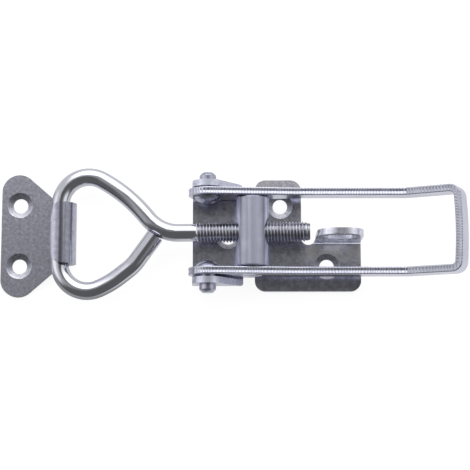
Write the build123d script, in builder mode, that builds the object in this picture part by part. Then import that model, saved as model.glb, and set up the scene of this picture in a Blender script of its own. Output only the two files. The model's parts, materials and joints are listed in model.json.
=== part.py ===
"""Over centre toggle latch with a threaded hook bolt, padlock eye and strike plate.

Millimetres, +Z up, latch closed. The origin is on the mounting face under the lever's
pivot, midway between the ears. +X runs from the pivot to the lever's grip, so the bow and
the strike plate it pulls on lie along -X.
"""

from build123d import *
import os
from math import acos, asin, atan2, cos, degrees, hypot, radians, sin, tan

os.makedirs("parts", exist_ok=True)

# Sheet that the base plate and strike plate are pressed from
sheet = 2.5
bend_inside = 1.2
bend_middle = bend_inside + sheet / 2

# Screw holes, all countersunk for the same M5 screw
hole_radius = 2.9
countersink_radius = 5.0
countersink_angle = 90

# Base plate, measured from the pivot
ear_outer_half = 20.3
ear_inner_half = ear_outer_half - sheet
ear_radius = 6.1
ear_toe_x = 13.9
plate_left_x = -ear_radius
pivot_z = 10.5
slot_width = 4.6
slot_inner_half = ear_inner_half - bend_inside
flange_overhang = 2.0
flange_half = ear_outer_half + flange_overhang
flange_left_x = ear_toe_x + slot_width
flange_corner = 4.2
toe_corner = 1.4
short_flange_right_x = 36.95
plate_right_x = 60.5
relief_radius = 2.8
plate_holes = [(8.0, -0.4), (28.6, 11.8), (47.0, -12.4)]

# Padlock eye, bent up from the base plate
eye_front_y = -2.55
eye_height = 24.0
eye_left_x = short_flange_right_x + 2 * relief_radius
eye_corner = 8.0
eye_hole_radius = 4.9
eye_hole_z = 15.6
eye_rim = 2.6

# Lever, one strip of thicker sheet bent to a U
strip = 3.0
arm_gap = 0.75
arm_outer_half = ear_inner_half - arm_gap
arm_inner_half = arm_outer_half - strip
arm_middle_half = arm_outer_half - strip / 2
heel_radius = 7.6
strip_height = 8.0
arm_middle_z = 11.2
taper_end_x = 34.0
kink_x = 77.7
kink_fillet = 6.0
grip_angle = 25.5
grip_reach = 23.4
grip_corner = 4.4
grip_bow = 0.5

# Barrel, turning in the arms
barrel_radius = 6.5
barrel_x = 17.43
barrel_z = arm_middle_z
barrel_end_gap = 0.45
barrel_half = arm_inner_half - barrel_end_gap
barrel_end_chamfer = 0.4
journal_radius = 3.5
journal_recess = 0.2
journal_half = arm_outer_half - journal_recess
running_clearance = 0.05

# Bow, one wire from the loop's free end to the threaded end
wire_radius = 3.5
thread_radius = 4.0
bow_length = 76.1
loop_end_half = 12.8
loop_end_bow = 0.7
corner_radius = 11.1
upper_corner_turn = 113.0
upper_slope_radius = 62.0
upper_slope_turn = 20.3
shank_bend_radius = 15.2
lower_corner_turn = 106.3
lower_slope_radius = 35.6
lower_slope_turn = 15.3
lower_run_length = 4.7
lower_bend_radius = 16.6
lower_bend_turn = 16.2
free_end_length = 12.1
thread_start = -21.4
thread_end = 22.6
thread_chamfer = 0.9
tap_mouth_radius = 6.0

# Strike plate, with its hook curled round the loop's end
wire_clearance = 0.7
hook_half = 12.0
hook_wrap = 200.0
lobe_radius = 6.8
lobe_half = 17.65
strike_left_x = -82.1
strike_edge_slope = 41.0
strike_hole_x = -74.9
strike_hole_spacing = 24.4

# Pivot rivets, one through each ear and arm
rivet_radius = 3.3
rivet_head_radius = 5.3
rivet_head_height = 3.0
rivet_head_gap = 0.1
rivet_tail = 3.4
rivet_tail_chamfer = 1.2

# Positions that follow from the sizes above
wire_z = sheet + wire_clearance + wire_radius
bow_slope = degrees(asin((barrel_z - wire_z) / bow_length))
wire_x = barrel_x - bow_length * cos(radians(bow_slope))
hook_radius = wire_radius + wire_clearance + sheet / 2
bow_plane = Plane(
    origin=(barrel_x, 0, barrel_z),
    x_dir=(cos(radians(bow_slope)), 0, sin(radians(bow_slope))),
    z_dir=(-sin(radians(bow_slope)), 0, cos(radians(bow_slope))),
)


def side_plane(y):
    """A sketching plane facing -Y at the given Y, with X and Z as its axes."""
    return Plane(origin=(0, y, 0), x_dir=(1, 0, 0), z_dir=(0, -1, 0))


def tangent_point(centre, radius, outside, side):
    """Where a line from the outside point touches the circle, on the side asked for."""
    dx = outside[0] - centre[0]
    dz = outside[1] - centre[1]
    angle = atan2(dz, dx) + side * acos(radius / hypot(dx, dz))
    return (centre[0] + radius * cos(angle), centre[1] + radius * sin(angle))


# Base plate: floor, two ears and the padlock eye, folded from one sheet
pivot = (0, pivot_z)
ear_top_z = pivot_z + ear_radius
ear_middle_half = ear_outer_half - sheet / 2
ear_toe = (ear_toe_x, sheet)
ear_tangent = tangent_point(pivot, ear_radius, ear_toe, 1)
eye_middle_x = (eye_left_x + plate_right_x) / 2
eye_middle_y = eye_front_y + sheet / 2
eye_width = plate_right_x - eye_left_x
eye_bend_y = eye_front_y - bend_inside
relief_x = eye_left_x - relief_radius
relief_y = eye_bend_y + relief_radius

with BuildPart() as base_plate:
    # Channel section: the floor between the two ears
    with BuildSketch(Plane.YZ.offset(plate_left_x)):
        with BuildLine() as channel:
            FilletPolyline(
                (-ear_middle_half, ear_top_z),
                (-ear_middle_half, sheet / 2),
                (ear_middle_half, sheet / 2),
                (ear_middle_half, ear_top_z),
                radius=bend_middle,
            )
        trace(channel.line, line_width=sheet)
    extrude(amount=ear_toe_x - plate_left_x)

    # Ears cut back to a round top that slopes down to a toe
    with BuildSketch(side_plane(0)):
        with BuildLine():
            RadiusArc((plate_left_x, pivot_z), ear_tangent, ear_radius)
            Polyline(
                ear_tangent,
                ear_toe,
                (ear_toe_x, ear_top_z + sheet),
                (plate_left_x, ear_top_z + sheet),
                (plate_left_x, pivot_z),
            )
        make_face()
    extrude(amount=ear_outer_half, both=True, mode=Mode.SUBTRACT)

    # Floor under the lever, with a flange on each side
    with BuildSketch():
        with BuildLine():
            Polyline(
                (short_flange_right_x, relief_y),
                (short_flange_right_x, flange_half),
                (flange_left_x, flange_half),
                (flange_left_x, slot_inner_half),
                (ear_toe_x - sheet, slot_inner_half),
                (ear_toe_x - sheet, -slot_inner_half),
                (flange_left_x, -slot_inner_half),
                (flange_left_x, -flange_half),
                (plate_right_x, -flange_half),
                (plate_right_x, eye_bend_y),
                (relief_x, eye_bend_y),
                (relief_x, relief_y),
                (short_flange_right_x, relief_y),
            )
        make_face()
    extrude(amount=sheet)

    # Padlock eye: the bend and the upright tab
    with BuildSketch(Plane.YZ.offset(relief_x)):
        with BuildLine() as eye_section:
            FilletPolyline(
                (eye_bend_y - sheet, sheet / 2),
                (eye_middle_y, sheet / 2),
                (eye_middle_y, eye_height),
                radius=bend_middle,
            )
        trace(eye_section.line, line_width=sheet)
    extrude(amount=plate_right_x - relief_x)

    # Relief notch between the short flange and the eye
    with BuildSketch():
        with Locations((relief_x, relief_y)):
            Circle(relief_radius)
            Rectangle(2 * relief_radius, sheet, align=(Align.CENTER, Align.MIN))
    extrude(amount=eye_height, mode=Mode.SUBTRACT)
    eye_top_corners = base_plate.edges().filter_by(Axis.Y).group_by(Axis.Z)[-1]
    fillet(eye_top_corners, radius=eye_corner)
    with BuildSketch(side_plane(eye_middle_y)):
        with Locations((eye_middle_x, eye_hole_z)):
            SlotOverall(eye_width - 2 * eye_rim, 2 * eye_hole_radius)
    extrude(amount=sheet, both=True, mode=Mode.SUBTRACT)

    # Rounded toe corners under the ears
    with BuildSketch():
        for side in (1, -1):
            with Locations((ear_toe_x, side * ear_outer_half)):
                Rectangle(2 * toe_corner, 2 * toe_corner)
            with Locations((ear_toe_x - toe_corner, side * (ear_outer_half - toe_corner))):
                Circle(toe_corner, mode=Mode.SUBTRACT)
    extrude(amount=sheet, mode=Mode.SUBTRACT)

    # Rounded flange corners, at the two ends of the plate's width
    upright_edges = base_plate.edges().filter_by(Axis.Z).group_by(Axis.Y)
    fillet(upright_edges[0] + upright_edges[-1], radius=flange_corner)

    # Screw holes through the floor
    with Locations(*[(x, y, sheet) for x, y in plate_holes]):
        CounterSinkHole(hole_radius, countersink_radius, counter_sink_angle=countersink_angle)

    # Rivet holes through the ears
    with BuildSketch(side_plane(0)):
        with Locations(pivot):
            Circle(rivet_radius)
    extrude(amount=ear_outer_half, both=True, mode=Mode.SUBTRACT)

base_plate.part.label = "base_plate"
export_step(base_plate.part, "parts/base_plate.step")

# Strike plate: floor with two lobes, and the hook curled round the wire
strike_lobe_x = strike_left_x + lobe_radius
edge_normal = radians(90 - strike_edge_slope)
lobe_tangent_x = strike_lobe_x + lobe_radius * cos(edge_normal)
lobe_tangent_y = lobe_half + lobe_radius * sin(edge_normal)
neck_x = lobe_tangent_x + (lobe_tangent_y - hook_half) / tan(radians(strike_edge_slope))

with BuildPart() as strike_plate:
    with BuildSketch():
        with Locations((strike_lobe_x, lobe_half), (strike_lobe_x, -lobe_half)):
            Circle(lobe_radius)
        with BuildLine():
            Polyline(
                (strike_left_x, lobe_half),
                (strike_left_x, -lobe_half),
                (strike_lobe_x, -lobe_half),
                (lobe_tangent_x, -lobe_tangent_y),
                (neck_x, -hook_half),
                (wire_x, -hook_half),
                (wire_x, hook_half),
                (neck_x, hook_half),
                (lobe_tangent_x, lobe_tangent_y),
                (strike_lobe_x, lobe_half),
                (strike_left_x, lobe_half),
            )
        make_face()
    extrude(amount=sheet)
    with BuildSketch(side_plane(0)):
        with BuildLine() as hook:
            CenterArc((wire_x, wire_z), hook_radius, -90, hook_wrap)
        trace(hook.line, line_width=sheet)
    extrude(amount=hook_half, both=True)
    with Locations(
        (strike_hole_x, strike_hole_spacing / 2, sheet),
        (strike_hole_x, -strike_hole_spacing / 2, sheet),
    ):
        CounterSinkHole(hole_radius, countersink_radius, counter_sink_angle=countersink_angle)

strike_plate.part.label = "strike_plate"
export_step(strike_plate.part, "parts/strike_plate.step")

# Bow: one wire, bent to a loop whose free end stops against the shank, then threaded
loop_reach = bow_length + loop_end_bow / 2
loop_end_radius = (loop_end_half**2 + loop_end_bow**2) / (2 * loop_end_bow)
loop_end_turn = degrees(asin(loop_end_half / loop_end_radius))
rod_start = Plane(
    origin=bow_plane.from_local_coords((thread_start, 0, 0)),
    x_dir=(0, 1, 0),
    z_dir=bow_plane.x_dir,
)

with BuildPart() as wire_bow:
    with BuildLine(bow_plane) as bow_path:
        upper_end = JernArc((-loop_reach, 0), (0, 1), loop_end_radius, -loop_end_turn)
        upper_corner = JernArc(upper_end @ 1, upper_end % 1, corner_radius, -upper_corner_turn)
        upper_slope = JernArc(
            upper_corner @ 1, upper_corner % 1, upper_slope_radius, -upper_slope_turn
        )
        shank_turn = (upper_slope % 1).get_angle(bow_plane.x_dir)
        bend_rise = shank_bend_radius * (1 - cos(radians(shank_turn)))
        slope_run = ((upper_slope @ 1).Y - bend_rise) / sin(radians(shank_turn))
        upper_run = PolarLine(upper_slope @ 1, slope_run, direction=upper_slope % 1)
        shank_bend = JernArc(upper_run @ 1, upper_run % 1, shank_bend_radius, shank_turn)
        Line(shank_bend @ 1, (thread_start, 0))
        lower_end = JernArc((-loop_reach, 0), (0, -1), loop_end_radius, loop_end_turn)
        lower_corner = JernArc(lower_end @ 1, lower_end % 1, corner_radius, lower_corner_turn)
        lower_slope = JernArc(
            lower_corner @ 1, lower_corner % 1, lower_slope_radius, lower_slope_turn
        )
        lower_run = PolarLine(lower_slope @ 1, lower_run_length, direction=lower_slope % 1)
        lower_bend = JernArc(lower_run @ 1, lower_run % 1, lower_bend_radius, lower_bend_turn)
        PolarLine(lower_bend @ 1, free_end_length, direction=lower_bend % 1)
    bow_wire = bow_path.wires()[0]
    with BuildSketch(Plane(origin=bow_wire @ 0, z_dir=bow_wire % 0)):
        Circle(wire_radius)
    sweep(path=bow_wire)

    # Threaded length, to the thread's outside diameter
    with BuildSketch(rod_start):
        Circle(thread_radius)
    extrude(amount=thread_end - thread_start)
    rod_end = wire_bow.faces().filter_by(GeomType.PLANE).sort_by(Axis.X)[-1]
    chamfer(rod_end.edges(), length=thread_chamfer)

wire_bow.part.label = "wire_bow"
export_step(wire_bow.part, "parts/wire_bow.step")

# Barrel: the round cross bar the bow screws through, with a journal at each end
with BuildPart() as barrel:
    with BuildSketch(side_plane(barrel_half)):
        with Locations((barrel_x, barrel_z)):
            Circle(barrel_radius)
    extrude(amount=2 * barrel_half)
    chamfer(barrel.edges(), length=barrel_end_chamfer)
    with BuildSketch(side_plane(journal_half)):
        with Locations((barrel_x, barrel_z)):
            Circle(journal_radius)
    extrude(amount=2 * journal_half)

    # Tapped hole on the bow's axis, its mouth countersunk on both sides
    for outward in (bow_plane.x_dir, -bow_plane.x_dir):
        with Locations(Plane(bow_plane.origin + outward * barrel_radius, z_dir=outward)):
            CounterSinkHole(
                thread_radius + running_clearance,
                tap_mouth_radius,
                counter_sink_angle=countersink_angle,
            )

barrel.part.label = "barrel"
export_step(barrel.part, "parts/barrel.step")

# Lever: a strip bent to a U, its arms widened round the pivot, its grip raised
half_strip = strip_height / 2
half_bend = radians(grip_angle / 2)
mitre = half_strip * tan(half_bend)
taper_top = (taper_end_x, arm_middle_z + half_strip)
taper_bottom = (taper_end_x, arm_middle_z - half_strip)
heel_top = tangent_point(pivot, heel_radius, taper_top, 1)
heel_bottom = tangent_point(pivot, heel_radius, taper_bottom, -1)
grip_plane = Plane(
    origin=(kink_x, 0, arm_middle_z),
    x_dir=(cos(radians(grip_angle)), 0, sin(radians(grip_angle))),
    z_dir=(-sin(radians(grip_angle)), 0, cos(radians(grip_angle))),
)
grip_start = grip_reach / 2
grip_top = grip_plane.from_local_coords((grip_start, 0, half_strip))
grip_bottom = grip_plane.from_local_coords((grip_start, 0, -half_strip))
grip_middle = grip_reach - strip / 2
corner_middle = grip_corner - strip / 2
bar_start = grip_middle - corner_middle
bar_half = arm_middle_half - corner_middle

with BuildPart() as lever:
    for outer_y in (arm_outer_half, -arm_inner_half):
        with BuildSketch(side_plane(outer_y)):
            with BuildLine():
                Polyline(
                    heel_top,
                    taper_top,
                    (kink_x - mitre, arm_middle_z + half_strip),
                    (grip_top.X, grip_top.Z),
                    (grip_bottom.X, grip_bottom.Z),
                    (kink_x + mitre, arm_middle_z - half_strip),
                    taper_bottom,
                    heel_bottom,
                )
                ThreePointArc(heel_bottom, (-heel_radius, pivot_z), heel_top)
            make_face()
        extrude(amount=strip)
    kink_edges = lever.edges().filter_by(Axis.Y).filter_by(
        lambda edge: abs(edge.center().X - kink_x) < 2 * mitre
    )
    fillet(kink_edges, radius=kink_fillet)

    # Cross bar of the grip, bowed a little outwards
    with BuildSketch(grip_plane):
        with BuildLine() as grip:
            left_arm = Line((grip_start, arm_middle_half), (bar_start, arm_middle_half))
            right_arm = Line((grip_start, -arm_middle_half), (bar_start, -arm_middle_half))
            bar = ThreePointArc(
                (grip_middle, bar_half), (grip_middle + grip_bow, 0), (grip_middle, -bar_half)
            )
            RadiusArc(left_arm @ 1, bar @ 0, corner_middle)
            RadiusArc(bar @ 1, right_arm @ 1, corner_middle)
        trace(grip.line, line_width=strip)
    extrude(amount=half_strip, both=True)

    # Pivot bores and barrel bores
    with BuildSketch(side_plane(0)):
        with Locations(pivot):
            Circle(rivet_radius + running_clearance)
        with Locations((barrel_x, barrel_z)):
            Circle(journal_radius + running_clearance)
    extrude(amount=arm_outer_half, both=True, mode=Mode.SUBTRACT)

lever.part.label = "lever"
export_step(lever.part, "parts/lever.step")

# Pivot rivets: domed head inside the arm, shank through arm and ear, chamfered tail
head_inner_y = arm_inner_half - rivet_head_gap - rivet_head_height
head_outer_y = arm_inner_half - rivet_head_gap
tail_y = ear_outer_half + rivet_tail

with BuildPart() as pivot_rivet_left:
    with BuildSketch(Plane.YZ):
        with BuildLine():
            Polyline(
                (head_inner_y, pivot_z),
                (tail_y, pivot_z),
                (tail_y, pivot_z + rivet_radius - rivet_tail_chamfer),
                (tail_y - rivet_tail_chamfer, pivot_z + rivet_radius),
                (head_outer_y, pivot_z + rivet_radius),
                (head_outer_y, pivot_z + rivet_head_radius),
            )
            RadiusArc(
                (head_outer_y, pivot_z + rivet_head_radius),
                (head_inner_y, pivot_z),
                -(rivet_head_radius**2 + rivet_head_height**2) / (2 * rivet_head_height),
            )
        make_face()
    revolve(axis=Axis((0, 0, pivot_z), (0, 1, 0)))

with BuildPart() as pivot_rivet_right:
    add(mirror(pivot_rivet_left.part, about=Plane.XZ))

pivot_rivet_left.part.label = "pivot_rivet_left"
pivot_rivet_right.part.label = "pivot_rivet_right"
export_step(pivot_rivet_left.part, "parts/pivot_rivet_left.step")
export_step(pivot_rivet_right.part, "parts/pivot_rivet_right.step")
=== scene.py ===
"""Over centre toggle latch: the finish of every piece, and the stage it is shown on.

Laid out as an add-on: sizes and colours that a user would change are properties, and each
piece or group of like pieces has its own operator. Everything is in metres, in the frame of
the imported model, with the latch closed.
"""

import json
from math import atan2, pi, radians

import bmesh
import bpy
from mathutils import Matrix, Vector


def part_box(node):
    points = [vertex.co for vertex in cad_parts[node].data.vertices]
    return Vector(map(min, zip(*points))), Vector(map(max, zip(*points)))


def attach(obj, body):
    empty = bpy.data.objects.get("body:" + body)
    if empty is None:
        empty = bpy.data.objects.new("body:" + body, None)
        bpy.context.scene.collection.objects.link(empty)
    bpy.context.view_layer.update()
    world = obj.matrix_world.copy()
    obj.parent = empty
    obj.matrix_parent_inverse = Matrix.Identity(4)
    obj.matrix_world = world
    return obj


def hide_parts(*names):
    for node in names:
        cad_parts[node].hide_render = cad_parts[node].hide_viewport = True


bl_info = {
    "name": "Toggle Latch Finish",
    "version": (1, 0, 0),
    "blender": (4, 5, 0),
    "location": "View3D > Sidebar > Latch",
    "description": "Dresses an over centre toggle latch and its stage",
    "category": "Add Mesh",
}

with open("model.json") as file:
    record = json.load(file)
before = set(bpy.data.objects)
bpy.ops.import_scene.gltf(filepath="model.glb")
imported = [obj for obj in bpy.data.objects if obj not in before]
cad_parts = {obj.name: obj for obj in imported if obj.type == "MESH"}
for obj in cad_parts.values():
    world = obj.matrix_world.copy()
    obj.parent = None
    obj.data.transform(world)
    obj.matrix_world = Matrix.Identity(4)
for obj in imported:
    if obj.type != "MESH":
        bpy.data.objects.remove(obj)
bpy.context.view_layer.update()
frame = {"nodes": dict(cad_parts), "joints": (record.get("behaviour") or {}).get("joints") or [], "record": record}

MM = 0.001
MERGE = 0.001 * MM
JOINTS = {joint["name"]: joint for joint in frame["joints"]}
BARREL_CENTRE = Vector(JOINTS["barrel_swivel"]["pos_m"])
ROD_AXIS = Vector(JOINTS["bow_adjust"]["axis"]).normalized()
UP = Vector((0, 0, 1))


def linear(code):
    """The linear colour of an sRGB hex code such as "A0A0A8"."""
    parts = [int(code[i : i + 2], 16) / 255 for i in (0, 2, 4)]
    return [p / 12.92 if p <= 0.04045 else ((p + 0.055) / 1.055) ** 2.4 for p in parts]


def length(name, description, default):
    """A length property in metres, its default given in millimetres."""
    return bpy.props.FloatProperty(
        name=name, description=description, default=default * MM, min=0, unit="LENGTH",
        precision=5,
    )


def colour(name, description, code):
    """A colour property, its default given as an sRGB hex code."""
    return bpy.props.FloatVectorProperty(
        name=name, description=description, default=linear(code), size=3, min=0, max=1,
        subtype="COLOR",
    )


class LatchSizes(bpy.types.PropertyGroup):
    """Sizes of the details that the finish adds."""

    sheet_rounding: length("Sheet edge", "Rollover along the pressed sheet's edges", 0.3)
    eye_rounding: length("Eye edge", "Rollover along the padlock eye's edges", 0.8)
    ear_rounding: length("Ear edge", "Rollover along the ears' edges", 0.5)
    ear_corner: length("Ear corner", "Corner radius below the ears' ends", 0.9)
    hole_rounding: length("Hole edge", "Rounding of holes and countersinks", 0.1)
    lip_slope: bpy.props.FloatProperty(
        name="Lip slope", description="How steeply the hook's lip thins to its end",
        default=0.19,
    )
    lip_corner: length("Lip corner", "Corner radius of the hook's free end", 2.8)
    strip_rounding: length("Strip edge", "Rollover along the lever strip's edges", 0.5)
    bar_rounding: length("Bar edge", "Rounding of turned and cut ends", 0.12)
    shear_hollow: length("Shear hollow", "Depth of the hollow along a sheared edge", 0.16)
    grip_start: length("Grip start", "Where along X the arms start to slope up", 77.0)
    shear_pitch: length("Shear marks", "Spacing of the marks across a sheared edge", 1.12)
    wire_radius: length("Wire radius", "Half the bow wire's diameter", 3.5)
    thread_radius: length("Thread radius", "Half the thread's outside diameter", 4.0)
    thread_pitch: length("Thread pitch", "Distance between the thread's crests", 1.25)
    thread_depth: length("Thread depth", "Height of the thread from root to crest", 0.72)
    thread_start: length("Thread start", "From the barrel back to the first crest", 21.4)
    thread_end: length("Thread end", "From the barrel out to the rod's end", 22.6)
    thread_point: length("Thread point", "Length of the pointed lead-in", 2.6)


class LatchColours(bpy.types.PropertyGroup):
    """Colours of the metals and of the stage."""

    sheet: colour("Sheet", "Zinc plate on the base plate", "BCBCC8")
    strike: colour("Strike plate", "Zinc plate on the strike plate", "ABABB8")
    strip: colour("Strip", "Zinc plate on the lever", "D4D6E6")
    wire: colour("Wire", "Bright zinc plate on the drawn wire", "D2D3DC")
    bar: colour("Bar", "Zinc plate on the barrel and rivets", "B2B4C5")
    hook: colour("Hook", "Zinc plate on the strike plate's hook", "B2B3C3")
    # The countersinks' material paints a highlight on walls facing +Y and shade on walls facing -Y.
    cone: colour("Countersinks", "Zinc plate in the drilled countersinks", "E6E7F2")
    # The eye's colour is lighter than the sheet's as painted light.
    eye: colour("Eye", "Zinc plate on the padlock eye", "E2E3F0")
    floor: colour("Floor", "Plain pale floor", "FFFFFF")


# Materials


def add(tree, kind, inputs=None, **options):
    """Adds a node with its options and inputs. An input that is a socket is linked."""
    new = tree.nodes.new(kind)
    for name, value in options.items():
        setattr(new, name, value)
    for name, value in (inputs or {}).items():
        if isinstance(value, bpy.types.NodeSocket):
            tree.links.new(value, new.inputs[name])
        else:
            new.inputs[name].default_value = value
    return new


def per_mm(spacing):
    """The texture scale that repeats about once in the given number of millimetres."""
    return 1 / (spacing * MM)


FLECK_SPACING = 1.1
SATIN_DRIFT = 0.15


def metal(name, tint, roughness, mottle, mottle_depth, grain, grain_height, flecks=0.0):
    """Zinc-plated steel: a tint that drifts in cloudy patches, with a fine grain in relief.

    mottle, grain and grain_height are the sizes in millimetres of the patches and of the
    grain. The plate's own crystals are some hundredths of a millimetre, too fine to show
    in the render, so the grain is drawn as coarse as it needs to be to show. flecks is how
    much lighter the scattered bright specks are.
    """
    material = bpy.data.materials.new(name)
    material.use_nodes = True
    tree = material.node_tree
    tree.nodes.clear()
    place = add(tree, "ShaderNodeTexCoord").outputs["Object"]
    cloud = add(
        tree, "ShaderNodeTexNoise",
        {"Vector": place, "Scale": per_mm(mottle), "Detail": 4.0, "Roughness": 0.6},
    )
    lightness = add(
        tree, "ShaderNodeMapRange",
        {"Value": cloud.outputs["Fac"], "From Min": 0.35, "From Max": 0.65,
         "To Min": 1 - mottle_depth, "To Max": 1 + mottle_depth},
    ).outputs["Result"]
    if flecks:
        scatter = add(
            tree, "ShaderNodeTexNoise",
            {"Vector": place, "Scale": per_mm(FLECK_SPACING), "Detail": 2.0},
        )
        fleck = add(
            tree, "ShaderNodeMapRange",
            {"Value": scatter.outputs["Fac"], "From Min": 0.60, "From Max": 0.72,
             "To Min": 0.0, "To Max": flecks},
        )
        lightness = add(
            tree, "ShaderNodeMath", {0: lightness, 1: fleck.outputs["Result"]},
            operation="ADD",
        ).outputs[0]
    shade = add(
        tree, "ShaderNodeVectorMath", {0: tuple(tint), "Scale": lightness},
        operation="SCALE",
    )
    rough = add(
        tree, "ShaderNodeMapRange",
        {"Value": cloud.outputs["Fac"], "From Min": 0.3, "From Max": 0.7,
         "To Min": roughness * (1 + SATIN_DRIFT), "To Max": roughness * (1 - SATIN_DRIFT)},
    )
    speck = add(
        tree, "ShaderNodeTexNoise",
        {"Vector": place, "Scale": per_mm(grain), "Detail": 3.0, "Roughness": 0.7},
    )
    relief = add(
        tree, "ShaderNodeBump",
        {"Height": speck.outputs["Fac"], "Strength": 1.0, "Distance": grain_height * MM},
    )
    surface = add(
        tree, "ShaderNodeBsdfPrincipled",
        {"Base Color": shade.outputs["Vector"], "Metallic": 1.0,
         "Roughness": rough.outputs["Result"], "Normal": relief.outputs["Normal"]},
    )
    add(tree, "ShaderNodeOutputMaterial", {"Surface": surface.outputs["BSDF"]})
    return material


def lighten(material, share):
    """Multiplies a metal's colour by the share that a socket gives over the surface."""
    tree = material.node_tree
    colour_in = tree.nodes["Principled BSDF"].inputs["Base Color"]
    shade = add(
        tree, "ShaderNodeVectorMath",
        {0: colour_in.links[0].from_socket, "Scale": share}, operation="SCALE",
    )
    tree.links.new(shade.outputs["Vector"], colour_in)


def zinc_plated_sheet(tint):
    """Barrel zinc plate on cold rolled sheet: satin and clouded, with a painted highlight on the
    flange beyond the lever and beside the eye's bend.
    """
    material = metal(
        "zinc_plated_rolled_sheet", tint, roughness=0.24, mottle=1.6, mottle_depth=0.30,
        grain=0.7, grain_height=0.012, flecks=0.25,
    )
    tree = material.node_tree
    place = add(tree, "ShaderNodeTexCoord").outputs["Object"]
    axes = add(tree, "ShaderNodeSeparateXYZ", {"Vector": place})
    # Painted highlight: lightens the flange beyond the lever and the plate beside the eye's bend.
    flange = add(
        tree, "ShaderNodeMapRange",
        {"Value": axes.outputs["Y"], "From Min": 16 * MM, "From Max": 18 * MM,
         "To Min": 1.0, "To Max": 1.75},
        interpolation_type="SMOOTHSTEP",
    )
    near_eye = add(
        tree, "ShaderNodeMapRange",
        {"Value": axes.outputs["X"], "From Min": 34 * MM, "From Max": 42 * MM,
         "To Min": 0.0, "To Max": 0.95},
        interpolation_type="SMOOTHSTEP",
    )
    bend = add(
        tree, "ShaderNodeMapRange",
        {"Value": axes.outputs["Y"], "From Min": -15 * MM, "From Max": -6 * MM,
         "To Min": 0.0, "To Max": near_eye.outputs["Result"]},
        interpolation_type="SMOOTHSTEP",
    )
    painted_highlight = add(
        tree, "ShaderNodeMath",
        {0: flange.outputs["Result"], 1: bend.outputs["Result"]}, operation="ADD",
    )
    lighten(material, painted_highlight.outputs[0])
    return material


def zinc_tumbled_sheet(tint):
    """Zinc plate on a small tumbled pressing: blotchy, with light and dark spots."""
    return metal(
        "zinc_plated_tumbled_sheet", tint, roughness=0.36, mottle=1.2, mottle_depth=0.26,
        grain=0.5, grain_height=0.018, flecks=0.45,
    )


def zinc_curled_hook(tint):
    """Zinc plate burnished where the sheet was curled: smoother, with slow waves. Painted shade
    darkens the coined lip from its crease nearly to its edge, and a painted highlight lightens the hook where X
    passes the lip's edge.
    """
    material = metal(
        "zinc_plated_curled_sheet", tint, roughness=0.17, mottle=1.8, mottle_depth=0.12,
        grain=1.6, grain_height=0.014,
    )
    tree = material.node_tree
    place = add(tree, "ShaderNodeTexCoord").outputs["Object"]
    axes = add(tree, "ShaderNodeSeparateXYZ", {"Vector": place})
    # Painted shade past the crease, and a painted highlight beyond the lip's edge along X.
    past_crease = add(
        tree, "ShaderNodeMapRange",
        {"Value": axes.outputs["X"], "From Min": -56.4 * MM, "From Max": -55.6 * MM,
         "To Min": 1.0, "To Max": 0.6},
        interpolation_type="SMOOTHSTEP",
    )
    coined = add(
        tree, "ShaderNodeMapRange",
        {"Value": axes.outputs["X"], "From Min": -54.2 * MM, "From Max": -52.4 * MM,
         "To Min": past_crease.outputs["Result"], "To Max": 1.2},
        interpolation_type="SMOOTHSTEP",
    )
    lighten(material, coined.outputs["Result"])
    return material


def zinc_formed_tab(tint):
    """Zinc plate on the ears: satin, and lighter than the base plate's sheet as painted light."""
    return metal(
        "zinc_plated_formed_tab", tint, roughness=0.38, mottle=1.6, mottle_depth=0.14,
        grain=0.9, grain_height=0.014,
    )


def zinc_eye_painted_light(tint):
    """Zinc plate on the padlock eye: smooth, and lighter than the base plate's sheet as painted light."""
    return metal(
        "zinc_plated_eye_painted_light", tint, roughness=0.26, mottle=1.6, mottle_depth=0.14,
        grain=0.9, grain_height=0.012,
    )


def zinc_drilled_cone(tint):
    """Zinc plate in a drilled countersink: satin, with a painted highlight on the wall that faces
    +Y and painted shade on the wall that faces -Y.
    """
    material = metal(
        "zinc_plated_countersink", tint, roughness=0.50, mottle=1.1, mottle_depth=0.24,
        grain=0.7, grain_height=0.030,
    )
    tree = material.node_tree
    facing = add(tree, "ShaderNodeTexCoord").outputs["Normal"]
    axes = add(tree, "ShaderNodeSeparateXYZ", {"Vector": facing})
    # Painted highlight and shade by the side a wall faces: lighter facing +Y, darker facing -Y.
    wall = add(
        tree, "ShaderNodeMapRange",
        {"Value": axes.outputs["Y"], "From Min": -0.5, "From Max": 0.6,
         "To Min": 0.35, "To Max": 1.1},
        interpolation_type="SMOOTHSTEP",
    )
    lighten(material, wall.outputs["Result"])
    return material


def zinc_drawn_wire(tint):
    """Bright zinc plate on drawn wire: nearly a mirror, with long soft waves."""
    return metal(
        "zinc_plated_drawn_wire", tint, roughness=0.11, mottle=7.0, mottle_depth=0.04,
        grain=1.2, grain_height=0.006,
    )


def zinc_rolled_thread(tint, root, crest):
    """Zinc plate on a rolled thread, darkened from the crests down to the roots by painted shade.
    root and crest are their distances from the rod's axis.
    """
    material = metal(
        "zinc_plated_rolled_thread", tint, roughness=0.24, mottle=2.0, mottle_depth=0.12,
        grain=0.6, grain_height=0.010,
    )
    tree = material.node_tree
    place = add(tree, "ShaderNodeTexCoord").outputs["Object"]
    offset = add(
        tree, "ShaderNodeVectorMath", {0: place, 1: BARREL_CENTRE}, operation="SUBTRACT"
    )
    beside = add(
        tree, "ShaderNodeVectorMath", {0: offset.outputs["Vector"], 1: ROD_AXIS},
        operation="CROSS_PRODUCT",
    )
    away = add(
        tree, "ShaderNodeVectorMath", {0: beside.outputs["Vector"]}, operation="LENGTH"
    )
    # Painted shade: darker towards the thread's roots.
    painted_root_shade = add(
        tree, "ShaderNodeMapRange",
        {"Value": away.outputs["Value"], "From Min": root, "From Max": crest,
         "To Min": 0.55, "To Max": 1.0},
    )
    lighten(material, painted_root_shade.outputs["Result"])
    return material


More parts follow.
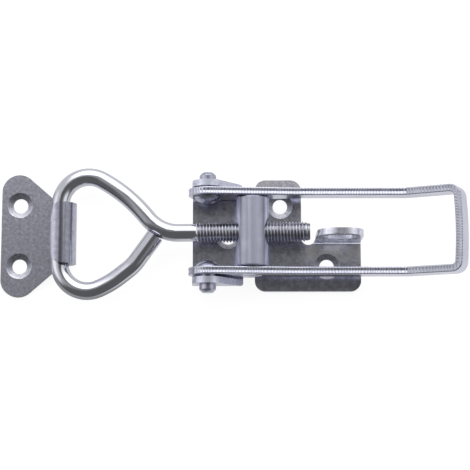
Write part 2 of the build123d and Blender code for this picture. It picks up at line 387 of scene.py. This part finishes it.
def zinc_turned_bar(tint):
    """Zinc plate on a turned bar: fine turning marks run round it and draw each glint out
    along its length, so it looks even from end to end and crisp from side to side. A painted
    highlight makes its two sides lighter than its top.
    """
    material = metal(
        "zinc_plated_turned_bar", tint, roughness=0.32, mottle=5.0, mottle_depth=0.05,
        grain=0.5, grain_height=0.006,
    )
    tree = material.node_tree
    surface = tree.nodes["Principled BSDF"]
    surface.inputs["Anisotropic"].default_value = 1.0
    surface.inputs["Anisotropic Rotation"].default_value = 0.25
    normal = add(tree, "ShaderNodeNewGeometry").outputs["Normal"]
    around = add(
        tree, "ShaderNodeVectorMath", {0: normal, 1: (0, 1, 0)}, operation="CROSS_PRODUCT"
    )
    tree.links.new(around.outputs["Vector"], surface.inputs["Tangent"])
    # Painted highlight on the bar's two sides, lighter than its top.
    place = add(tree, "ShaderNodeTexCoord").outputs["Object"]
    axes = add(tree, "ShaderNodeSeparateXYZ", {"Vector": place})
    offset = add(
        tree, "ShaderNodeMath", {0: axes.outputs["X"], 1: BARREL_CENTRE.x},
        operation="SUBTRACT",
    )
    aside = add(tree, "ShaderNodeMath", {0: offset.outputs[0]}, operation="ABSOLUTE")
    side = add(
        tree, "ShaderNodeMapRange",
        {"Value": aside.outputs[0], "From Min": 4.5 * MM, "From Max": 5.1 * MM,
         "To Min": 1.0, "To Max": 1.6},
        interpolation_type="SMOOTHSTEP",
    )
    lighten(material, side.outputs["Result"])
    return material


def zinc_cut_rivet(tint):
    """Zinc plate on the cold headed rivets: smooth, with soft clouds."""
    return metal(
        "zinc_plated_headed_rivet", tint, roughness=0.26, mottle=2.5, mottle_depth=0.10,
        grain=1.2, grain_height=0.008,
    )


def zinc_rolled_strip(tint):
    """Bright zinc plate on the strip's rolled faces: smooth and light."""
    return metal(
        "zinc_plated_rolled_strip", tint, roughness=0.24, mottle=8.0, mottle_depth=0.05,
        grain=0.8, grain_height=0.006,
    )


def zinc_sheared_edge(tint, pitch, bar_half, slope_start):
    """Zinc plate over a sheared edge: small ridges across it, one for each bite, their grooves darkened by painted
    shade.

    The ridges follow each other along X on the arms, and along Y on the grip's bar, which
    lies within bar_half of the middle. Beyond slope_start, where the grip was bent up, they
    are fainter, and painted shade darkens the plate.
    """
    wander_size = 6.0
    wander_turns = 1.5
    ridge_height = 0.045 * MM
    grip_relief = 0.55
    material = metal(
        "zinc_plated_sheared_edge", tint, roughness=0.29, mottle=4.0, mottle_depth=0.06,
        grain=0.5, grain_height=0.008,
    )
    tree = material.node_tree
    surface = tree.nodes["Principled BSDF"]
    fine = surface.inputs["Normal"].links[0].from_node
    place = add(tree, "ShaderNodeTexCoord").outputs["Object"]
    axes = add(tree, "ShaderNodeSeparateXYZ", {"Vector": place})
    aside = add(tree, "ShaderNodeMath", {0: axes.outputs["Y"]}, operation="ABSOLUTE")
    on_arm = add(
        tree, "ShaderNodeMath", {0: aside.outputs[0], 1: bar_half}, operation="GREATER_THAN"
    )
    along = add(
        tree, "ShaderNodeMix",
        {"Factor": on_arm.outputs[0], "A": axes.outputs["Y"], "B": axes.outputs["X"]},
    )
    wander = add(
        tree, "ShaderNodeTexNoise",
        {"Vector": place, "Scale": per_mm(wander_size), "Detail": 1.0},
    )
    drift = add(
        tree, "ShaderNodeMath",
        {0: wander.outputs["Fac"], 1: wander_turns * pitch, 2: along.outputs["Result"]},
        operation="MULTIPLY_ADD",
    )
    turns = add(
        tree, "ShaderNodeMath", {0: drift.outputs[0], 1: 2 * pi / pitch},
        operation="MULTIPLY",
    )
    ridge = add(tree, "ShaderNodeMath", {0: turns.outputs[0]}, operation="SINE")
    strength = add(
        tree, "ShaderNodeMapRange",
        {"Value": axes.outputs["X"], "From Min": slope_start - 0.5 * MM,
         "From Max": slope_start + 0.5 * MM, "To Min": 1.0, "To Max": grip_relief},
    )
    relief = add(
        tree, "ShaderNodeBump",
        {"Height": ridge.outputs[0], "Strength": strength.outputs["Result"],
         "Distance": ridge_height, "Normal": fine.outputs["Normal"]},
    )
    tree.links.new(relief.outputs["Normal"], surface.inputs["Normal"])
    # Painted shade in the ridges' grooves, and over the grip beyond slope_start.
    groove_shade_depth = add(
        tree, "ShaderNodeMapRange",
        {"Value": strength.outputs["Result"], "To Min": 1.0, "To Max": 0.72},
    )
    painted_groove_shade = add(
        tree, "ShaderNodeMapRange",
        {"Value": ridge.outputs[0], "From Min": -1.0, "From Max": 0.2,
         "To Min": groove_shade_depth.outputs["Result"], "To Max": 1.0},
    )
    painted_grip_shade = add(
        tree, "ShaderNodeMapRange",
        {"Value": strength.outputs["Result"], "From Min": grip_relief, "From Max": 1.0,
         "To Min": 0.68, "To Max": 1.0},
    )
    lightness = add(
        tree, "ShaderNodeMath",
        {0: painted_groove_shade.outputs["Result"], 1: painted_grip_shade.outputs["Result"]}, operation="MULTIPLY",
    )
    lighten(material, lightness.outputs[0])
    return material


# Meshes


COUNTERSINK_RADIUS = 5.4 * MM
SHEET = 2.5 * MM
# The base plate: where its bends end, where its ears and eye stand along X, and the corner
# below each ear's end, with the place just past it.
BEND_TOP = 3.7 * MM
EARS = (-10 * MM, 15 * MM)
EYE = (35 * MM, 65 * MM)
EAR_CORNER = Vector((13.9, 20.1)) * MM
PAST_CORNER = Vector((14.0, 20.4)) * MM
# The strike plate's hook: its half width, and the angles about the wire at which its lip
# starts and ends. Its curl starts this far before the wire.
HOOK_SIDE = 12.0 * MM
HOOK_END = radians(110)
LIP_CREASE = radians(80)
CURL_START = 4 * MM
# The thread: the shares of half a pitch that its crest and its flank take.
CREST = 0.12
FLANK = 0.72
# How far a joint's pin or barrel reaches from its axis in the lever's arms.
BORE_REACH = 4.5 * MM


def screw_holes():
    """Centres of the five screw holes, from the mounts in the record."""
    centres = []
    for mount in frame["record"]["mounts"]:
        centre = Vector(mount["pos_m"]).xy
        if mount["name"].startswith("base_screw"):
            centres.append(centre)
        elif mount["kind"] == "bolt_pattern":
            reach = Vector((0, mount["dims"]["spacing_y_mm"] * MM / 2))
            centres += [centre - reach, centre + reach]
    return centres


def merged_copy(node):
    """A bmesh of the CAD node's surface, its corners joined and its flats made whole."""
    bm = bmesh.new()
    bm.from_mesh(frame["nodes"][node].data)
    bmesh.ops.remove_doubles(bm, verts=bm.verts, dist=MERGE)
    bmesh.ops.dissolve_limit(
        bm, angle_limit=radians(0.5), use_dissolve_boundaries=False, verts=bm.verts,
        edges=bm.edges, delimit=set(),
    )
    return bm


def sharp_edges(bm):
    """Edges where two faces meet at a corner."""
    limit = radians(32)
    return [
        edge
        for edge in bm.edges
        if len(edge.link_faces) == 2 and edge.calc_face_angle(0) > limit
    ]


SCREW_HOLES = screw_holes()


def in_a_hole(point):
    """Whether a point lies in one of the screw holes or its countersink."""
    return any((point.xy - centre).length < COUNTERSINK_RADIUS for centre in SCREW_HOLES)


def on_a_cone(face):
    """Whether a face is the sloping wall of a countersink."""
    return in_a_hole(face.calc_center_median()) and 0.3 < face.normal.z < 0.95


def round_edges(bm, edges, radius, segments=3):
    """Rounds the edges by the radius."""
    bmesh.ops.bevel(
        bm, geom=edges, offset=radius, offset_type="OFFSET", segments=segments, profile=0.5,
        affect="EDGES", clamp_overlap=True, material=-1,
    )


def split_edges(bm):
    """The sharp edges of a pressed sheet: those of its screw holes, and the others."""
    holes, outline = [], []
    for edge in sharp_edges(bm):
        middle = (edge.verts[0].co + edge.verts[1].co) / 2
        (holes if in_a_hole(middle) else outline).append(edge)
    return holes, outline


def form_lip(bm, wire, sizes):
    """Thins the hook's free end on its outer side, from a crease on, as if coined, and
    rounds its two corners.
    """
    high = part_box("strike_plate")[1]
    inner_radius = high.z - wire.z - SHEET
    middle_radius = inner_radius + SHEET / 2
    for vert in bm.verts:
        offset = vert.co - wire
        away = Vector((offset.x, 0, offset.z))
        if offset.z < 0 or away.length < inner_radius - MERGE:
            continue
        angle = atan2(offset.z, offset.x)
        if angle > HOOK_END + MERGE:
            continue
        to_end = (HOOK_END - angle) * middle_radius
        if to_end < sizes.lip_corner and abs(abs(vert.co.y) - HOOK_SIDE) < MERGE:
            drawn = 1 - to_end / sizes.lip_corner
            inward = sizes.lip_corner * (1 - (1 - drawn * drawn) ** 0.5)
            vert.co.y = (HOOK_SIDE - inward) * (1 if vert.co.y > 0 else -1)
        past_crease = (angle - LIP_CREASE) * middle_radius
        if past_crease > 0 and away.length > middle_radius:
            vert.co -= away.normalized() * past_crease * sizes.lip_slope


def finished(bm, name, node, body, slot, *materials):
    """Turns the bmesh into a smooth-shaded piece that stands for a CAD node."""
    for face in bm.faces:
        face.smooth = True
    mesh = bpy.data.meshes.new(name)
    bm.to_mesh(mesh)
    bm.free()
    mesh.set_sharp_from_angle(angle=radians(40))
    for material in materials:
        mesh.materials.append(material)
    piece = bpy.data.objects.new(name, mesh)
    bpy.context.scene.collection.objects.link(piece)
    weighted = piece.modifiers.new("flats", "WEIGHTED_NORMAL")
    weighted.keep_sharp = True
    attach(piece, body)
    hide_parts(node)
    return piece


def tab_edges(edges, span):
    """The edges above the bends, between two places along X."""
    low, high = span
    return [
        edge
        for edge in edges
        if min(vert.co.z for vert in edge.verts) > BEND_TOP - MERGE
        and all(low < vert.co.x < high for vert in edge.verts)
    ]


def round_ear_corners(bm, radius):
    """Rounds, seen from above, the corner below each ear's end."""
    centre = EAR_CORNER - Vector((radius, radius))
    for vert in bm.verts:
        place = Vector((vert.co.x, abs(vert.co.y)))
        over = place - centre
        past = place.x >= PAST_CORNER.x or place.y >= PAST_CORNER.y
        if past or vert.co.z >= BEND_TOP:
            continue
        if min(over) > 0 and over.length > radius:
            over *= radius / over.length
            vert.co.x = centre.x + over.x
            vert.co.y = (centre.y + over.y) * (1 if vert.co.y > 0 else -1)


class LATCH_OT_base_plate(bpy.types.Operator):
    """Base plate with its ears and padlock eye, its edges rolled over by the press."""

    bl_idname = "latch.base_plate"
    bl_label = "Base Plate"

    def execute(self, context):
        sizes, colours = context.scene.latch_sizes, context.scene.latch_colours
        bm = merged_copy("base_plate")
        for face in bm.faces:
            middle = face.calc_center_median()
            if on_a_cone(face):
                face.material_index = 1
            elif middle.z > SHEET + 0.2 * MM:
                face.material_index = 2 if middle.x < (EARS[1] + EYE[0]) / 2 else 3
        round_ear_corners(bm, sizes.ear_corner)
        holes, outline = split_edges(bm)
        round_edges(bm, holes, sizes.hole_rounding)
        ears = tab_edges(outline, EARS)
        eye = tab_edges(outline, EYE)
        flat = [edge for edge in outline if edge not in ears and edge not in eye]
        rolled = (
            (eye, sizes.eye_rounding),
            (ears, sizes.ear_rounding),
            (flat, sizes.sheet_rounding),
        )
        for edges, radius in rolled:
            round_edges(bm, [edge for edge in edges if edge.is_valid], radius)
        # The ears are given the lever's lighter colour as painted light.
        finished(
            bm, "pressed_base_plate", "base_plate", "base", "zinc_sheet",
            zinc_plated_sheet(colours.sheet), zinc_drilled_cone(colours.cone),
            zinc_formed_tab(colours.strip), zinc_eye_painted_light(colours.eye),
        )
        return {"FINISHED"}


class LATCH_OT_strike_plate(bpy.types.Operator):
    """Strike plate with its hook."""

    bl_idname = "latch.strike_plate"
    bl_label = "Strike Plate"

    def execute(self, context):
        sizes, colours = context.scene.latch_sizes, context.scene.latch_colours
        bm = merged_copy("strike_plate")
        wire = Vector(JOINTS["strike_swing"]["pos_m"])
        for face in bm.faces:
            if on_a_cone(face):
                face.material_index = 1
            elif face.calc_center_median().x > wire.x - CURL_START:
                face.material_index = 2
        form_lip(bm, wire, sizes)
        holes, outline = split_edges(bm)
        round_edges(bm, holes, sizes.hole_rounding)
        round_edges(bm, outline, sizes.sheet_rounding)
        finished(
            bm, "hooked_strike_plate", "strike_plate", "strike", "zinc_sheet",
            zinc_tumbled_sheet(colours.strike), zinc_drilled_cone(colours.cone),
            zinc_curled_hook(colours.hook),
        )
        return {"FINISHED"}


class LATCH_OT_bow(bpy.types.Operator):
    """Bow: the bent wire loop and its rolled thread."""

    bl_idname = "latch.bow"
    bl_label = "Bow"

    def execute(self, context):
        sizes, colours = context.scene.latch_sizes, context.scene.latch_colours
        start = BARREL_CENTRE - ROD_AXIS * sizes.thread_start
        bm = merged_copy("wire_bow")
        bmesh.ops.bisect_plane(
            bm, geom=bm.verts[:] + bm.edges[:] + bm.faces[:], dist=MERGE,
            plane_co=start - ROD_AXIS * MM, plane_no=ROD_AXIS, clear_outer=True,
        )
        rim = [edge for edge in bm.edges if edge.is_boundary]
        bmesh.ops.holes_fill(bm, edges=rim, sides=0)
        self.add_thread(bm, sizes)
        for face in bm.faces:
            if (face.calc_center_median() - start).dot(ROD_AXIS) > 0:
                face.material_index = 1
        finished(
            bm, "bent_wire_bow", "wire_bow", "bow", "zinc_wire",
            zinc_drawn_wire(colours.wire),
            zinc_rolled_thread(
                colours.wire, sizes.thread_radius - sizes.thread_depth, sizes.thread_radius
            ),
        )
        return {"FINISHED"}

    def add_thread(self, bm, sizes):
        """Adds the rod's threaded length: a disc carried along the rod, then drawn out to a
        helix. It starts a little inside the plain wire, and its end is tapered.
        """
        segments = 48
        rings_per_turn = 16
        overlap = 2 * MM
        plain = 1.0 * MM
        run_in = 1.6 * sizes.thread_pitch
        taper = 0.9 * MM
        run = sizes.thread_start + sizes.thread_end + overlap
        rings = round(run / sizes.thread_pitch * rings_per_turn)
        start = BARREL_CENTRE - ROD_AXIS * (sizes.thread_start + overlap)
        turn = UP.rotation_difference(ROD_AXIS).to_matrix().to_4x4()
        turn.translation = start
        disc = bmesh.ops.create_circle(
            bm, cap_ends=True, radius=sizes.wire_radius, segments=segments, matrix=turn
        )["verts"]
        cap = disc[0].link_faces[0]
        bmesh.ops.spin(
            bm, geom=[cap], cent=start, axis=ROD_AXIS, dvec=ROD_AXIS * run / rings, angle=0,
            steps=rings, use_duplicate=False,
        )
        across = ROD_AXIS.orthogonal().normalized()
        beside = ROD_AXIS.cross(across)
        for vert in bm.verts:
            offset = vert.co - start
            along = offset.dot(ROD_AXIS)
            away = offset - ROD_AXIS * along
            if along < -MERGE or away.length < MERGE:
                continue
            angle = atan2(away.dot(beside), away.dot(across)) / (2 * pi)
            phase = (along / sizes.thread_pitch - angle) % 1
            height = thread_radius(phase, sizes) - sizes.wire_radius
            fade_in = min(max((along - plain) / run_in, 0), 1)
            to_end = run - along
            lead = sizes.thread_radius - taper * max(0, 1 - to_end / sizes.thread_point)
            radius = min(sizes.wire_radius + height * fade_in, lead)
            vert.co = start + ROD_AXIS * along + away.normalized() * radius


def thread_radius(phase, sizes):
    """Radius of the thread's profile at a share of its pitch: crest, flank and root."""
    from_crest = abs(2 * phase - 1)
    share = min(max((from_crest - CREST) / FLANK, 0), 1)
    return sizes.thread_radius - sizes.thread_depth * share


class LATCH_OT_barrel(bpy.types.Operator):
    """Barrel: the turned cross bar the bow screws through."""

    bl_idname = "latch.barrel"
    bl_label = "Barrel"

    def execute(self, context):
        sizes, colours = context.scene.latch_sizes, context.scene.latch_colours
        bm = merged_copy("barrel")
        round_edges(bm, sharp_edges(bm), sizes.bar_rounding, 2)
        finished(
            bm, "turned_barrel", "barrel", "barrel", "zinc_bar",
            zinc_turned_bar(colours.bar),
        )
        return {"FINISHED"}


def is_sheared(face):
    """Whether a face of the lever is a sheared edge of its strip, not a rolled side."""
    middle = face.calc_center_median()
    for joint in ("lever_pivot", "barrel_swivel"):
        offset = middle - Vector(JOINTS[joint]["pos_m"])
        if Vector((offset.x, offset.z)).length < BORE_REACH:
            return False
    return abs(face.normal.z) > 0.6 or (abs(face.normal.y) < 0.5 and middle.x < 0)


def hollow(bm, faces, rim, slope, depth):
    """Sinks a shallow hollow along a band of faces, between rims of their own height."""
    bmesh.ops.inset_region(
        bm, faces=faces, thickness=rim, depth=0, use_even_offset=True, use_boundary=True
    )
    bmesh.ops.inset_region(
        bm, faces=faces, thickness=slope, depth=-depth, use_even_offset=True,
        use_boundary=True,
    )


class LATCH_OT_lever(bpy.types.Operator):
    """Lever: the U-shaped strip, smooth on its faces and ridged along its sheared edges."""

    bl_idname = "latch.lever"
    bl_label = "Lever"

    def execute(self, context):
        sizes, colours = context.scene.latch_sizes, context.scene.latch_colours
        bm = merged_copy("lever")
        sheared = [face for face in bm.faces if is_sheared(face)]
        for face in sheared:
            face.material_index = 1
        rim, slope = sizes.strip_rounding + 0.1 * MM, 0.78 * MM
        hollow(bm, sheared, rim, slope, sizes.shear_hollow)
        round_edges(bm, sharp_edges(bm), sizes.strip_rounding, 4)
        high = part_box("lever")[1]
        bar_half = 0.8 * high.y
        finished(
            bm, "bent_strip_lever", "lever", "lever", "zinc_sheet",
            zinc_rolled_strip(colours.strip),
            zinc_sheared_edge(colours.strip, sizes.shear_pitch, bar_half, sizes.grip_start),
        )
        return {"FINISHED"}


class LATCH_OT_rivets(bpy.types.Operator):
    """Pivot rivets: domed heads inside the arms and cut tails outside the ears."""

    bl_idname = "latch.rivets"
    bl_label = "Pivot Rivets"

    def execute(self, context):
        sizes, colours = context.scene.latch_sizes, context.scene.latch_colours
        plate = zinc_cut_rivet(colours.bar)
        for side in ("left", "right"):
            node = "pivot_rivet_" + side
            bm = merged_copy(node)
            round_edges(bm, sharp_edges(bm), sizes.bar_rounding, 2)
            finished(bm, "domed_rivet_" + side, node, "base", "zinc_bar", plate)
        return {"FINISHED"}


class LATCH_OT_stage(bpy.types.Operator):
    """Stage: camera, soft panel, pale floor and world."""

    bl_idname = "latch.stage"
    bl_label = "Stage"

    def execute(self, context):
        scene = context.scene
        scene.view_settings.view_transform = "Standard"
        self.camera(scene)
        self.panel(scene)
        self.floor(scene)
        self.world(scene)
        return {"FINISHED"}

    def camera(self, scene):
        lens = bpy.data.cameras.new("camera")
        lens.sensor_width = 36
        lens.lens = 105.25
        lens.clip_start = 0.01
        view = bpy.data.objects.new("camera", lens)
        view.location = (0.0106, -0.08205, 0.5420)
        view.rotation_euler = (radians(8.67), 0, radians(-0.04))
        scene.collection.objects.link(view)
        scene.camera = view

    def panel(self, scene):
        """One soft panel above and behind the latch, facing it."""
        target = Vector((0, 0, 0.01))
        place = Vector((0.10, 0.526, 0.492))
        width, height = 1.0, 0.84
        radiance = 0.72
        lamp = bpy.data.lights.new("panel_back", "AREA")
        lamp.shape = "RECTANGLE"
        lamp.size = width
        lamp.size_y = height
        lamp.energy = radiance * pi * width * height
        panel = bpy.data.objects.new("panel_back", lamp)
        panel.location = place
        panel.rotation_euler = (target - place).to_track_quat("-Z", "Y").to_euler()
        scene.collection.objects.link(panel)

    def floor(self, scene):
        """A white floor just below the latch. The camera sees it white with the latch's
        shadow, and the metal sees it glow in a pool round the latch. Its paleness is lower
        where it is seen, since the glow is added there.
        """
        half_width = 3.0
        gap = 0.3 * MM
        white_glow = 0.9
        paleness, seen_paleness = 0.8, 0.25
        bm = bmesh.new()
        bmesh.ops.create_grid(bm, x_segments=1, y_segments=1, size=half_width)
        bmesh.ops.translate(bm, verts=bm.verts, vec=(0, 0, -gap))
        mesh = bpy.data.meshes.new("floor")
        bm.to_mesh(mesh)
        bm.free()
        material = bpy.data.materials.new("pale_floor")
        material.use_nodes = True
        tree = material.node_tree
        tree.nodes.clear()
        path = add(tree, "ShaderNodeLightPath")
        bounced = add(
            tree, "ShaderNodeMath",
            {0: path.outputs["Is Glossy Ray"], 1: path.outputs["Is Transmission Ray"]},
            operation="MAXIMUM",
        )
        place = add(tree, "ShaderNodeTexCoord").outputs["Object"]
        axes = add(tree, "ShaderNodeSeparateXYZ", {"Vector": place})
        beside = add(
            tree, "ShaderNodeMapRange",
            {"Value": axes.outputs["X"], "From Min": -0.03, "From Max": -0.005,
             "To Min": 0.22, "To Max": 0.65},
            interpolation_type="SMOOTHSTEP",
        )
        pool = add(
            tree, "ShaderNodeMapRange",
            {"Value": axes.outputs["Y"], "From Min": -0.024, "From Max": -0.004,
             "To Min": beside.outputs["Result"], "To Max": 0.6},
            interpolation_type="SMOOTHSTEP",
        )
        reflected = add(
            tree, "ShaderNodeMath", {0: bounced.outputs[0], 1: pool.outputs["Result"]},
            operation="MULTIPLY",
        )
        lift = add(
            tree, "ShaderNodeMath",
            {0: path.outputs["Is Camera Ray"], 1: white_glow, 2: reflected.outputs[0]},
            operation="MULTIPLY_ADD",
        )
        seen = add(
            tree, "ShaderNodeMath",
            {0: path.outputs["Is Camera Ray"], 1: bounced.outputs[0]}, operation="MAXIMUM",
        )
        pale = add(
            tree, "ShaderNodeMix",
            {"Factor": seen.outputs[0], "A": paleness, "B": seen_paleness},
        )
        matt = add(tree, "ShaderNodeBsdfDiffuse", {"Color": pale.outputs["Result"]})
        glow = add(
            tree, "ShaderNodeEmission",
            {"Color": (*scene.latch_colours.floor, 1), "Strength": lift.outputs[0]},
        )
        mix = add(
            tree, "ShaderNodeAddShader",
            {0: matt.outputs["BSDF"], 1: glow.outputs["Emission"]},
        )
        add(tree, "ShaderNodeOutputMaterial", {"Surface": mix.outputs["Shader"]})
        mesh.materials.append(material)
        floor = bpy.data.objects.new("floor", mesh)
        scene.collection.objects.link(floor)

    def world(self, scene):
        """A dim room with soft light patches. Each patch has the way to it, the cosines at
        its edge and at its full strength, and that strength.
        """
        room = 0.135
        patches = (
            ((-0.72, 0.42, 0.55), 0.66, 0.88, 0.60),  # behind, on the strike plate's side
            ((0.8, 0.0, 0.6), 0.80, 1.00, 0.28),  # above the grip
            ((0.9, 0.0, 0.43), 0.84, 0.98, 0.62),  # beyond the grip
            ((-0.9, 0.0, 0.43), 0.84, 0.98, 0.50),  # beyond the strike plate
            ((0.10, 0.86, 0.50), 0.69, 0.92, 1.20),  # round the panel
        )
        world = bpy.data.worlds.new("world")
        scene.world = world
        world.use_nodes = True
        tree = world.node_tree
        tree.nodes.clear()
        direction = add(tree, "ShaderNodeTexCoord").outputs["Generated"]
        level = room
        for toward, edge, full, strength in patches:
            facing = add(
                tree, "ShaderNodeVectorMath", {0: direction, 1: toward},
                operation="DOT_PRODUCT",
            )
            patch = add(
                tree, "ShaderNodeMapRange",
                {"Value": facing.outputs["Value"], "From Min": edge, "From Max": full,
                 "To Min": 0.0, "To Max": strength},
                interpolation_type="SMOOTHSTEP",
            )
            level = add(
                tree, "ShaderNodeMath", {0: level, 1: patch.outputs["Result"]},
                operation="ADD",
            ).outputs[0]
        back = add(
            tree, "ShaderNodeBackground", {"Color": (1, 1, 1, 1), "Strength": level},
        )
        add(tree, "ShaderNodeOutputWorld", {"Surface": back.outputs["Background"]})


OPERATORS = (
    LATCH_OT_base_plate,
    LATCH_OT_strike_plate,
    LATCH_OT_bow,
    LATCH_OT_barrel,
    LATCH_OT_lever,
    LATCH_OT_rivets,
    LATCH_OT_stage,
)


class LATCH_PT_panel(bpy.types.Panel):
    """Lists the latch's pieces and its stage."""

    bl_idname = "LATCH_PT_panel"
    bl_label = "Toggle Latch"
    bl_space_type = "VIEW_3D"
    bl_region_type = "UI"
    bl_category = "Latch"

    def draw(self, context):
        for operator in OPERATORS:
            self.layout.operator(operator.bl_idname)
        for group in (context.scene.latch_sizes, context.scene.latch_colours):
            for name in group.__annotations__:
                self.layout.prop(group, name)


CLASSES = (LatchSizes, LatchColours, *OPERATORS, LATCH_PT_panel)


def register():
    for cls in CLASSES:
        bpy.utils.register_class(cls)
    bpy.types.Scene.latch_sizes = bpy.props.PointerProperty(type=LatchSizes)
    bpy.types.Scene.latch_colours = bpy.props.PointerProperty(type=LatchColours)


def unregister():
    del bpy.types.Scene.latch_colours
    del bpy.types.Scene.latch_sizes
    for cls in reversed(CLASSES):
        bpy.utils.unregister_class(cls)


def main():
    register()
    bpy.ops.latch.stage()
    bpy.ops.latch.base_plate()
    bpy.ops.latch.strike_plate()
    bpy.ops.latch.bow()
    bpy.ops.latch.barrel()
    bpy.ops.latch.lever()
    bpy.ops.latch.rivets()


if __name__ == "__main__":
    main()
